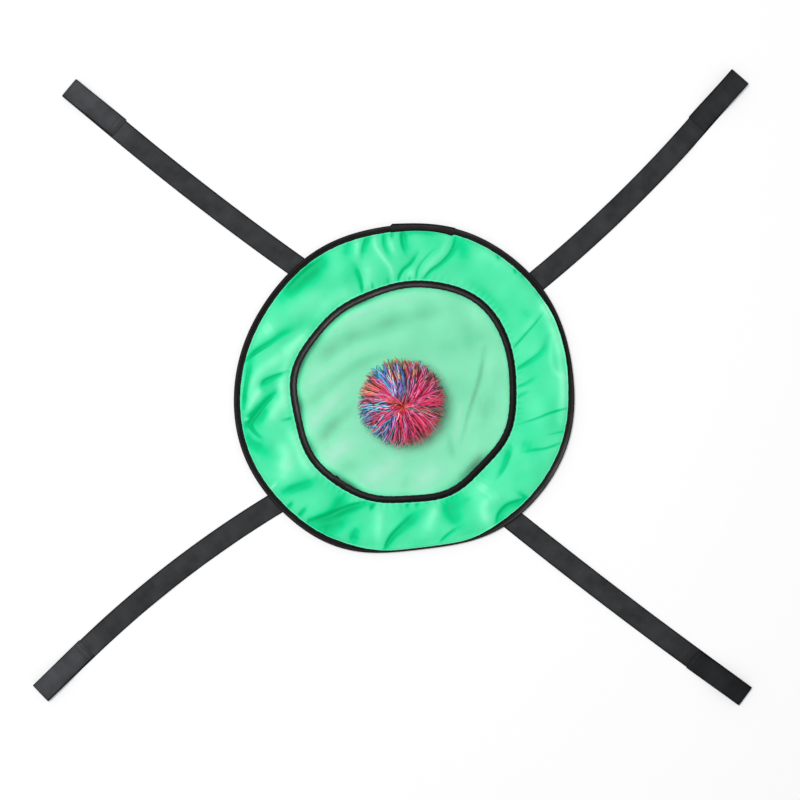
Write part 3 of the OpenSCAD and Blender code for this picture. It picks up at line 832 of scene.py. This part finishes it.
def make_rim():
    a = np.arange(1440) * 0.25
    obj = ring_piece("rim_tape", rim_section(a), True, RIM_TAPE, body="disc", slot="tape_black")
    give_painted_highlight(obj, a, rim_painted_highlight)
    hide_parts("outer_binding")
    half_turn = math.degrees(LAP_LEN / RIM_D)
    a = np.linspace(LAP_MID - half_turn + 4.5, LAP_MID + half_turn, 130)
    p = np.array(RIM_TOP)
    outer = np.concatenate([p, p[::-1] * (1, -1)])
    gap = 0.1
    normal = np.gradient(outer, axis=0)
    normal = np.stack([-normal[:, 1], normal[:, 0]], 1)
    normal /= np.linalg.norm(normal, axis=1, keepdims=True)
    shell = np.concatenate([outer + normal * (gap + TAPE_T), (outer + normal * gap)[::-1]])
    # its cut ends stand off: outward at one end, inward over the cloth at the other
    stand_off = 1.7
    from_out, from_in = a[-1] - a, a - a[0]
    stand_out = (np.exp(-from_out / 5) * smooth(from_out, 0, 0.8))[:, None]
    stand_out = stand_out * smooth(shell[:, 0], -3, 0)
    stand_in = (np.exp(-from_in / 3) * smooth(from_in, 0, 0.8))[:, None]
    stand_in = stand_in * (1 - smooth(shell[:, 0], -6.5, -4))
    section = swept(a, rim_point, shell[None, :, 0] + stand_off * stand_out - stand_off * stand_in,
                    shell[None, :, 1] + RIM_Z)
    lap = ring_piece("rim_tape_lap", section, False, RIM_TAPE, body="disc", slot="tape_black")
    give_painted_highlight(lap, a, rim_painted_highlight)
    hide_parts("outer_binding")


def tape_section(a, low, crown):
    """Section of the flat tape round the opening, a little crowned, with soft edges."""
    half = TAPE_W / 2
    s = np.array([-half, -half + 0.12, -3.3, -2.7, -1.5, 0, 1.5, 2.7, 3.3, half - 0.12, half])
    top = TAPE_T + crown * np.array([-0.4, 0.1, 0.25, 0.35, 0.5, 1, 0.5, 0.35, 0.25, 0.1, -0.4])
    bottom = np.zeros(len(s))
    bottom[[0, -1]] = 0.15
    waves = 0.06 * np.sin(np.radians(a) * 83) + 0.05 * np.sin(np.radians(a) * 131 + 2)
    s_all = np.concatenate([s, s[::-1]])[None] + (waves * 1.6)[:, None]
    z_all = np.concatenate([top, bottom])[None] + low + (waves * (crown > 0))[:, None] * 0.2
    return swept(a, tape_point, s_all, z_all)


def make_opening_tapes():
    a = np.arange(1200) * 0.3
    top = ring_piece("opening_tape_top", tape_section(a, COVER_Z, 0.6), True, TAPE,
                     across_from=2.7, body="disc", slot="tape_black")
    give_painted_highlight(top, a, opening_painted_highlight)
    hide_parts("inner_binding_top")
    under = ring_piece("opening_tape_under", tape_section(a, 0.04, 0.0), True, TAPE,
                       body="disc", slot="tape_black")
    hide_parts("inner_binding_bottom")
    a = np.linspace(189, 196, 40)
    turned = tape_section(a, COVER_Z + TAPE_T + 0.32, 0.15)
    # its inner edge, the first and last two points of the section, slants inward at the start
    place = np.arange(turned.shape[1])
    edge = np.where((place < 2) | (place > len(place) - 3), 1.0, 0.0)
    share = np.clip((192.5 - a) / 3.5, 0, 1)
    shift = (share[:, None] * edge)[..., None] * -1.5
    direction = with_z(ray(a), np.zeros(len(a)))[:, None]
    lap = ring_piece("opening_tape_lap", turned + direction * shift, False, TAPE,
                     across_from=2.7, body="disc", slot="tape_black")
    give_painted_highlight(lap, a, opening_painted_highlight)


# Places along a stitch and how far it bulges there
STITCH = np.linspace(0, 1, 6)
STITCH_BULGE = np.sin(math.pi * STITCH)


def stitches(name, paths, radius, body, slot):
    """Thread along the paths, thinner where it dips in at its ends."""
    radii = np.broadcast_to(radius * (0.55 + 0.45 * STITCH_BULGE), paths.shape[:2])
    side = np.broadcast_to([0.0, 0.0, 1.0], paths.shape)
    tubes(name, paths, radii, side, THREAD, body=body, slot=slot)


def stitch_ring(name, point_of, s, z, up, skip=lambda a: a < 0):
    """Short raised stitches one after another along a seam, apart from where skip says."""
    pitch, rise = 3.0, 0.14
    around = np.linspace(0, 360, 3000, endpoint=False)
    length = lengths_along(point_of(around, np.full_like(around, s)), closed=True)
    count = int(length[-1] / pitch)
    start = np.arange(count) * length[-1] / count
    at = start[:, None] + STITCH[None] * pitch * 0.82
    a = np.interp(at, length, np.append(around, 360))
    a = a[~skip(a[:, 0])]
    arch = np.full_like(a, z) + up * rise * (STITCH_BULGE - 0.35)[None]
    stitches(name, with_z(point_of(a, np.full_like(a, s)), arch), 0.2, "disc", "tape_black")


def make_stitching():
    top = COVER_Z + TAPE_T + 0.1
    stitch_ring("opening_stitches_outer", tape_point, 3.1, top, 1)
    stitch_ring("opening_stitches_inner", tape_point, -3.1, top, 1)
    half_turn = math.degrees(LAP_LEN / RIM_D)
    lapped = lambda a: (np.abs(a - LAP_MID) < half_turn) | (rolled(a) > 0.02)
    stitch_ring("rim_stitches_top", rim_point, -5.9, RIM_Z + 0.78, 1, lapped)
    stitch_ring("rim_stitches_under", rim_point, -5.9, RIM_Z - 0.78, -1, lapped)


# ---------------------------------------------------------------- straps and hand loops
def strap_heading(n, d):
    return STRAPS[n][1] + STRAPS[n][2] * d / STRAPS[n][3]


def strap_point(n, d):
    fold, start, turned, length = STRAPS[n]
    bend = math.degrees(length / turned)
    h, h0 = np.radians(strap_heading(n, d)), math.radians(start)
    corner = rim_point(np.float64(fold), np.float64(FOLD_OUT))
    arc = np.stack([np.sin(h) - math.sin(h0), math.cos(h0) - np.cos(h)], -1)
    return corner + bend * arc


# Half of the webbing's section: distance from its middle line, and half its thickness there
WEB_SECTION = [(12.5, 0.0), (12.42, 0.35), (12.1, 0.6), (11.6, 0.68), (11.0, 0.6), (10.2, 0.69),
               (6.5, 0.74), (3.0, 0.72), (0.0, 0.745)]


def webbing(name, n, along, height, lean, shift, shade, **options):
    """A run of webbing: distances along strap n, heights of its middle, the tilt of its path
    as (cos, sin), its shift sideways and its painted light and shade, all as arrays of the same
    length."""
    half = np.array(WEB_SECTION)
    top = np.concatenate([half, half[-2::-1] * (-1, 1)])
    section = np.concatenate([top, top[-2:0:-1] * (1, -1)])
    d_straight = np.clip(along, 0, STRAPS[n][3])
    heading = ray(strap_heading(n, d_straight))
    left = np.stack([-heading[:, 1], heading[:, 0]], -1)
    middle = strap_point(n, d_straight) + heading * (along - d_straight)[:, None]
    across = section[None, :, 0] + shift[:, None]
    normal = np.concatenate([-heading * lean[:, 1:2], lean[:, 0:1]], 1)
    points = with_z(middle, height)[:, None]
    points = points + across[..., None] * with_z(left, np.zeros(len(along)))[:, None]
    points = points + section[None, :, 1:2] * normal[:, None]
    obj = ring_piece(name, points, False, WEBBING, **options)
    point_value(obj, "shade", np.repeat(shade, len(section)))
    return obj


# For each strap: how far its loop's end is sewn down to the side, the painted light or shade
# of its hand loop (lighter on the left), and the height and place of its highest wave
SIDE_STEP = [1.0, -1.2, -0.7, -0.7]
LOOP_SHADE = [0.65, 1.5, 1.53, 0.36]
LIFT = [(2.2, 228), (0.8, 120), (0.5, 150), (0.7, 90)]


def strap_wave(n, d):
    """Height of the strap's middle over flat: it lies a little unevenly on the floor."""
    length = STRAPS[n][3]
    window = smooth(d, 10, 45) * (1 - smooth(d, length - 24, length - 9))
    rise, place = LIFT[n]
    waves = 0.48 + 0.25 * np.sin(d / 13.0 + n) + 0.2 * np.sin(d / 7.3 + 2 * n)
    return window * (waves + rise * bump(d, place, 40))


def loop_path():
    """Side view of the loop: distance from its fold, height of the middle, tilt, and share
    of the way back along the upper ply."""
    gap = LOOP_H - 2 * WEB_T
    bend_x = LOOP_LEN - LOOP_H / 2
    lower = np.arange(1.0, bend_x, 1.0)
    turn = np.radians(np.linspace(-90, 90, 19))
    upper = np.arange(bend_x - 1, CUT_X - 0.01, -1.0)
    rise = np.sin(np.pi / 2 * np.clip((upper - TACK_X) / (0.7 * (bend_x - TACK_X)), 0, 1)) ** 2
    r = (LOOP_H - WEB_T) / 2
    x = np.concatenate([lower, bend_x + r * np.cos(turn), upper])
    z = np.concatenate([np.full(len(lower), WEB_T / 2), LOOP_H / 2 + r * np.sin(turn),
                        1.5 * WEB_T + gap * rise])
    back = np.concatenate([np.zeros(len(lower)), np.linspace(0, 0.1, len(turn)),
                           np.linspace(0.1, 1, len(upper))])
    return x, z, back


def tilts(x, z):
    t = np.stack([np.gradient(x), np.gradient(z)], -1)
    return t / np.linalg.norm(t, axis=1, keepdims=True)


def strap_frame(n, d):
    h = ray(strap_heading(n, np.float64(d)))
    p = strap_point(n, np.float64(d))
    return Vector((*p, 0)), Vector((*h, 0))


FOLD_REACH, CUT_RING = 4.0, 0.03
SEWN_END = -(FOLD_OUT + BINDING_W + SEWN_LEN)


def make_strap(n):
    length = STRAPS[n][3]
    # a ring close to each cut end keeps the shading flat right up to it
    middle = length / 2
    d = np.concatenate([np.arange(SEWN_END, -6, 1.0), np.arange(-6, 6, 0.5),
                        np.arange(6, middle - 0.1, 1.0), [middle - CUT_RING, middle]])
    z = WEB_T / 2 + strap_wave(n, d) + 0.3 * (1 - smooth(d, -16, -11))
    flat = np.zeros(len(d))
    # the run under the cloth goes straight on from the fold
    root = webbing(f"webbing_root_{n + 1}", n, d, z, tilts(d, z), flat, flat + 1,
                   slot="webbing_black")
    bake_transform(root)
    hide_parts(f"sewn_end_{n + 1}", f"strap_{n + 1}")
    x, up, back = loop_path()
    first = np.concatenate([[middle, middle + CUT_RING], np.arange(middle + 1, length - 6, 1.0),
                            np.arange(length - 6, length, 0.5), [length]])
    d = np.concatenate([first, length + x])
    z = np.concatenate([WEB_T / 2 + strap_wave(n, first), up])
    shift = np.concatenate([np.zeros(len(first)), SIDE_STEP[n] * smooth(back, 0.1, 1.0)])
    # painted light and shade: the hand loop is painted lighter or darker towards its end, as
    # LOOP_SHADE gives
    shade = 1 + (LOOP_SHADE[n] - 1) * smooth(d, length - 30, length + 20)
    hand = webbing(f"webbing_hand_{n + 1}", n, d, z, tilts(d, z), shift, shade,
                   slot="webbing_black")
    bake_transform(hand)
    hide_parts(f"hand_loop_{n + 1}")


def stitch_lines(name, n, at, lines, z, body, up=1):
    """Stitches on webbing: each line runs from (along, across) to (along, across) in mm."""
    paths = []
    for x0, y0, x1, y1 in lines:
        run = math.hypot(x1 - x0, y1 - y0)
        count = max(1, int(run / 2.4))
        for k in range(count):
            t = (k + 0.08 + 0.8 * STITCH) / count
            arch = 0.16 * (STITCH_BULGE - 0.3)
            paths.append(np.stack([x0 + (x1 - x0) * t, y0 + (y1 - y0) * t, z + up * arch], -1))
    local = np.array(paths)
    p, h = (np.array(v[:2]) for v in strap_frame(n, at))
    left = np.array([-h[1], h[0]])
    xy = p + local[..., :1] * h + local[..., 1:2] * left
    stitches(name, with_z(xy, local[..., 2]), 0.24, body, "webbing_black")


def make_loop_stitches(n):
    low, high = SIDE_STEP[n] - 11, SIDE_STEP[n] + 11
    x0, between, x1 = 5.2, 6.4, 11.6
    lines = [(x0, low, x0, high), (between, high, between, low), (x1, low, x1, high),
             (x0, low, x1, low), (x0, high, x1, high)]
    stitch_lines(f"loop_stitches_{n + 1}", n, STRAPS[n][3], lines, 2 * WEB_T + 0.05,
                 f"hand_loop_{n + 1}")
    # a sewn box with a cross in it
    x0, x1, y = SEWN_END + 2, SEWN_END + SEWN_LEN - 1, 10
    lines = [(x0, -y, x1, -y), (x1, -y, x1, y), (x1, y, x0, y), (x0, y, x0, -y),
             (x0, -y, x1, y), (x0, y, x1, -y)]
    stitch_lines(f"root_stitches_{n + 1}", n, 0, lines, 0.38, "disc", up=-1)


# ---------------------------------------------------------------- yarn ball
YARN_COLOURS = {
    "k": (250, 26, 78), "p": (255, 66, 128), "m": (200, 36, 108), "o": (255, 92, 40),
    "b": (24, 120, 198), "t": (64, 178, 208), "l": (206, 160, 222), "v": (116, 60, 150),
    "g": (14, 84, 52), "r": (170, 36, 48), "y": (252, 196, 84), "s": (250, 132, 130),
    "h": (255, 104, 148),
}
# Colours of the strands by azimuth on the plan, anticlockwise from the right, 22.5 degrees each
YARN_SECTORS = ["kkphkpmk", "kpmkmkph", "kmpkmlkh", "mlptlmkp", "ltbmvbvt", "btvbbtlm", "lpmblpsb",
                "ohltokpl", "lttlvptb", "lpkplbtl", "lbvlbtpm", "kplmvkhk", "kpkkmphk", "kkpkmkhp",
                "kpgkkhpk", "kpgkmphk"]
# Colours towards the tips: from and to azimuth, colours, share of the strands, where it starts
YARN_ENDS = [(146, 172, "oos", 0.85, 0.55), (84, 118, "yoyo", 0.85, 0.7), (66, 84, "oor", 0.65, 0.7),
             (120, 142, "bbt", 0.6, 0.65), (172, 192, "slt", 0.5, 0.7), (192, 225, "tbl", 0.5, 0.6),
             (222, 242, "bbt", 0.7, 0.65), (322, 345, "ror", 0.6, 0.75), (15, 48, "org", 0.4, 0.8),
             (264, 296, "gko", 0.3, 0.8)]
# Where the strands come out at the top on the left and on the right, on the plan, in mm
WHORL = ((-5.2, -1.8), (0.6, -3.4))
POINTS = 18
# The ball's widest level over its lowest, and its half heights above and below that level
WIDEST, UPPER, LOWER = 32, 48, 31.5
# Layers of locks: locks, strands in a lock, polar angles of the tips, depths as shares of the
# ball, polar angles at the start, and how bright the layer is: painted shade for the deep ones
LAYERS = [
    (56, 5, (68, 94), (0.94, 0.985), (0.5, 4), 1.0),
    (40, 4, (40, 66), (0.97, 1.01), (0.5, 4), 1.1),
    (48, 6, (82, 102), (0.91, 0.96), (1, 10), 0.8),
    (52, 9, (94, 114), (0.84, 0.9), (6, 40), 0.3),
    (60, 1, (80, 98), (0.96, 1.01), (20, 50), 0.8),
    (40, 9, (94, 132), (0.86, 0.93), (168, 178), 0.7),
    (90, 4, (84, 106), (0.76, 0.84), (150, 178), 0.45),
]


def make_strands():
    """All the strands of the ball: their paths, radii, colours and tip azimuths."""
    rng = np.random.default_rng(47)
    s = np.linspace(0, 1, POINTS)[None]
    made = []
    for locks, strands, tips, depths, starts, bright in LAYERS:
        n = locks * strands
        lock = np.repeat(np.arange(locks), strands)
        each = lambda low, high: rng.uniform(low, high, locks)[lock][:, None]
        own = lambda low, high: rng.uniform(low, high, n)[:, None]
        bell = lambda spread: rng.normal(0, spread, n)[:, None]
        middle = ((np.arange(locks) + rng.uniform(-0.5, 0.5, locks)) * 360 / locks)[lock][:, None]
        above = starts[0] < 90
        narrow = each(0.5, 1.3)
        tip_a = middle + bell(3.4) * narrow
        polar1 = each(*tips) + bell(3.0)
        # two bundles on the left start on the right and bridge the parting
        bridge = (apart(tip_a, 214) < 13) | (apart(tip_a, 150) < 9)
        bridge = bridge & (bright >= 1)
        polar0 = own(*starts)
        depth = (each(*depths) + own(-0.02, 0.02)) * (1 + 0.015 * np.cos(np.radians(middle - 190)))
        sway = each(-2.2, 2.2) * np.sin(s * each(3, 6) + each(0, 6.3))
        curl = each(-14, 14) - 22 * bump(apart(middle, 50), 0, 40)
        polar = polar0 + (polar1 - polar0) * s
        turn = np.radians(polar)
        flare = own(-0.03, 0.05) * smooth(s, 0.7, 1)
        rho = depth * (0.9 + 0.1 * smooth(s, 0, 0.3)) + flare
        across = BALL_D / 2 * rho * np.sin(turn)
        z = BALL_Z + WIDEST + np.where(polar < 90, UPPER, LOWER) * rho * np.cos(turn)
        if above:
            z = z - 3 * np.exp(-((across / 7) ** 2))
        a = tip_a + curl * (1 - smooth(s, 0, 0.75)) + bell(1.5) * (1 - s)
        wave_a = own(0.15, 0.6) * np.sin(s * own(6, 15) + own(0, 6.3))
        wave_z = own(0.15, 0.6) * np.sin(s * own(6, 15) + own(0, 6.3))
        a = a + np.degrees((wave_a + sway) / np.maximum(across, 12))
        z = np.maximum(z + wave_z, BALL_Z + 0.8)
        plan_xy = np.maximum(across, 0.4)[..., None] * ray(a)
        if above:
            right = smooth(np.cos(np.radians(tip_a)), -0.25, 0.25)[..., None]
            right = np.where(bridge[..., None], 1.0, right)
            z = z + np.where(bridge, 1.2, 0) * (1 - smooth(s, 0.2, 0.6))
            root = np.array(WHORL[0]) * (1 - right) + np.array(WHORL[1]) * right
            plan_xy = plan_xy + root * (1 - smooth(s, 0.0, 0.42))[..., None]
        path = with_z(np.stack(to_row(plan_xy[..., 0], plan_xy[..., 1]), -1) + BALL, z)
        radius = own(0.38, 0.56) * (1 - 0.4 * smooth(s, 0.8, 1))
        tints = strand_tints(rng, tip_a[:, 0] % 360, lock, bright, bridge[:, 0])
        made.append((path, radius, tints, tip_a[:, 0] - math.degrees(PLAN_TURN)))
    return [np.concatenate(part) for part in zip(*made)]


def strand_tints(rng, tip_a, lock, bright, starts_right):
    """Colour of each point of each strand: mostly that of its lock, often another at the tip, with
    light and shade painted in.
    """
    yarn = {letter: np.array(linear(*colour)) for letter, colour in YARN_COLOURS.items()}
    sector = (tip_a // 22.5).astype(int)
    colours = np.zeros((len(tip_a), POINTS, 3))
    along = np.linspace(0, 1, POINTS)[:, None]
    # painted light: brighter towards the tips, where the outer strands catch the light
    gain = 1.0 + 0.55 * smooth(along, 0.4, 1.0)
    heart = 0.6 * (1 - smooth(along, 0.06, 0.2))
    for i, where in enumerate(sector):
        choice = YARN_SECTORS[where]
        letter = choice[(lock[i] * 3) % 8] if rng.random() < 0.3 else choice[rng.integers(8)]
        if starts_right[i]:
            letter = "kkphm"[rng.integers(5)]
        root = yarn[letter]
        end, starts = root, 1.0
        for low, high, letters, share, begin in YARN_ENDS:
            if low <= tip_a[i] < high and rng.random() < share:
                end, starts = yarn[letters[rng.integers(len(letters))]], begin
        fade = smooth(along, starts - 0.1, starts + 0.1)
        root = root + (yarn["o"] - root) * heart
        # partly random tone of the strands, partly painted shade (the darkest, for the gaps between
        # them) and painted highlight (the lightest, whitened by pale)
        light = rng.choice([0.13, 0.5, 0.95, 1.3, 1.75]) * rng.uniform(0.85, 1.15)
        pale = 0.1 * max(light - 0.9, 0) * bright
        colours[i] = ((root + (end - root) * fade) * light * bright + pale) * gain
    return np.clip(colours, 0, 1)


TUFT_SLOTS = ["yarn_pink", "yarn_orange", "yarn_blue", "yarn_teal", "yarn_purple", "yarn_crimson",
              "yarn_green", "yarn_magenta"]


def make_tufts():
    paths, radii, tints, tip_a = make_strands()
    tuft = ((tip_a % 360) // 45).astype(int)
    outward = paths - np.array([*BALL, BALL_Z + WIDEST])
    side = np.cross(np.gradient(paths, axis=1), outward)
    side /= np.linalg.norm(side, axis=-1, keepdims=True)
    for k in range(8):
        own = tuft == k
        obj = tubes(f"yarn_tuft_{k + 1}", paths[own], radii[own], side[own], YARN, body="ball",
                    slot=TUFT_SLOTS[k])
        point_value(obj, "tint", np.repeat(tints[own].reshape(-1, 3), 6, axis=0))
        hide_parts(f"tuft_{k + 1}")


def make_waist():
    """The strands where they are bound together in the middle, and the cord round them."""
    rng = np.random.default_rng(90)
    count, steps = 48, 14
    t = np.linspace(-1, 1, steps)[None]
    a = rng.uniform(0, 360, count)[:, None] + 12 * t
    inner = np.sqrt(rng.uniform(0.05, 1, count))[:, None]
    neck = 3.9 + 1.6 * smooth(np.abs(t), 0.08, 0.5)
    r = inner * neck
    z = BALL_Z + BALL_H / 2 + t * (BALL_H / 2 - 6) * (1 - 0.1 * inner)
    paths = with_z(r[..., None] * ray(a) + BALL, z)
    side = with_z(ray(a + 90), np.zeros(a.shape))
    obj = tubes("waist_bundle", paths, np.full(a.shape, 0.6), side, YARN, body="ball",
                slot="yarn_magenta")
    point_value(obj, "tint", np.tile(np.array(linear(200, 34, 100)), (count * steps * 6, 1)))
    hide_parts("ball_core")
    steps, sides, winding_r, pitch = 120, 10, 5.0, 1.75
    turns = np.linspace(0, 3 * 360, steps)
    z = BALL_Z + BALL_H / 2 + (turns / 360 - 1.5) * pitch
    path = with_z(winding_r * ray(turns) + BALL, z)[None]
    side = np.broadcast_to([0.0, 0.0, 1.0], path.shape)
    tie = tubes("waist_cord", path, np.full((1, steps), 0.85), side, YARN, sides=sides, body="ball",
                slot="tie_cord")
    point_value(tie, "tint", np.tile(np.array(linear(236, 232, 224)), (steps * sides, 1)))
    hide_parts("ball_tie")


# ---------------------------------------------------------------- build
make_rim()
make_opening_tapes()
make_stitching()
make_cloth()
make_net()
for n in range(4):
    make_strap(n)
    make_loop_stitches(n)
make_tufts()
make_waist()
spring = steel_material("spring_steel", (150, 156, 165), 0.3)
sleeve = steel_material("sleeve_steel", (120, 124, 130), 0.42)
for name, metal in (("hoop_spring", spring), ("hoop_sleeve", sleeve)):
    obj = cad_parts[name]
    obj.data.materials.clear()
    obj.data.materials.append(metal)

# ---------------------------------------------------------------- floor, light and camera
FLOOR_HALF = 6000.0
# How much whiter the floor looks to the camera and in reflections than its shaded colour
WHITE_LIFT = 0.13
WORLD_STRENGTH = 0.38


def floor_material():
    m = bpy.data.materials.new("pale_floor")
    m.use_nodes = True
    m.node_tree.nodes.clear()
    seen = node(m, "LightPath").outputs
    either = maths(m, "MAXIMUM", seen["Is Camera Ray"], seen["Is Glossy Ray"])
    either = maths(m, "MAXIMUM", either, seen["Is Transmission Ray"])
    lift = maths(m, "MULTIPLY", either, WHITE_LIFT)
    diffuse = node(m, "BsdfDiffuse", {"Color": (0.8, 0.8, 0.8, 1)})
    glow = node(m, "Emission", {"Color": (1, 1, 1, 1), "Strength": lift})
    both = node(m, "AddShader", {0: diffuse.outputs[0], 1: glow.outputs[0]})
    node(m, "OutputMaterial", {"Surface": both.outputs[0]})
    return m


corners = [(x * FLOOR_HALF, y * FLOOR_HALF, 0) for x, y in ((-1, -1), (1, -1), (1, 1), (-1, 1))]
floor = piece("floor", corners, [np.array([[0, 1, 2, 3]])], floor_material(), closed=False)

world = bpy.data.worlds.new("soft_white")
bpy.context.scene.world = world
world.use_nodes = True
background = world.node_tree.nodes["Background"].inputs
background["Color"].default_value = (1, 1, 1, 1)
background["Strength"].default_value = WORLD_STRENGTH

# one square lamp over the upper left of the plan, aimed at the disc
lamp = placed("key", bpy.data.lights.new("key", "AREA"), (*to_row(-0.64, 0.39), 4.0))
lamp.data.size, lamp.data.energy = 1.3, 127
lamp.rotation_euler = (-lamp.location).to_track_quat("-Z", "Y").to_euler()

camera = placed("camera", bpy.data.cameras.new("camera"), (-0.0116, -0.0048, 2.5))
camera.rotation_euler = (0, 0, -PLAN_TURN)
camera.data.lens, camera.data.sensor_width = 100, 36
camera.data.clip_start, camera.data.clip_end = 0.05, 50
bpy.context.scene.camera = camera
bpy.context.scene.view_settings.view_transform = "Standard"
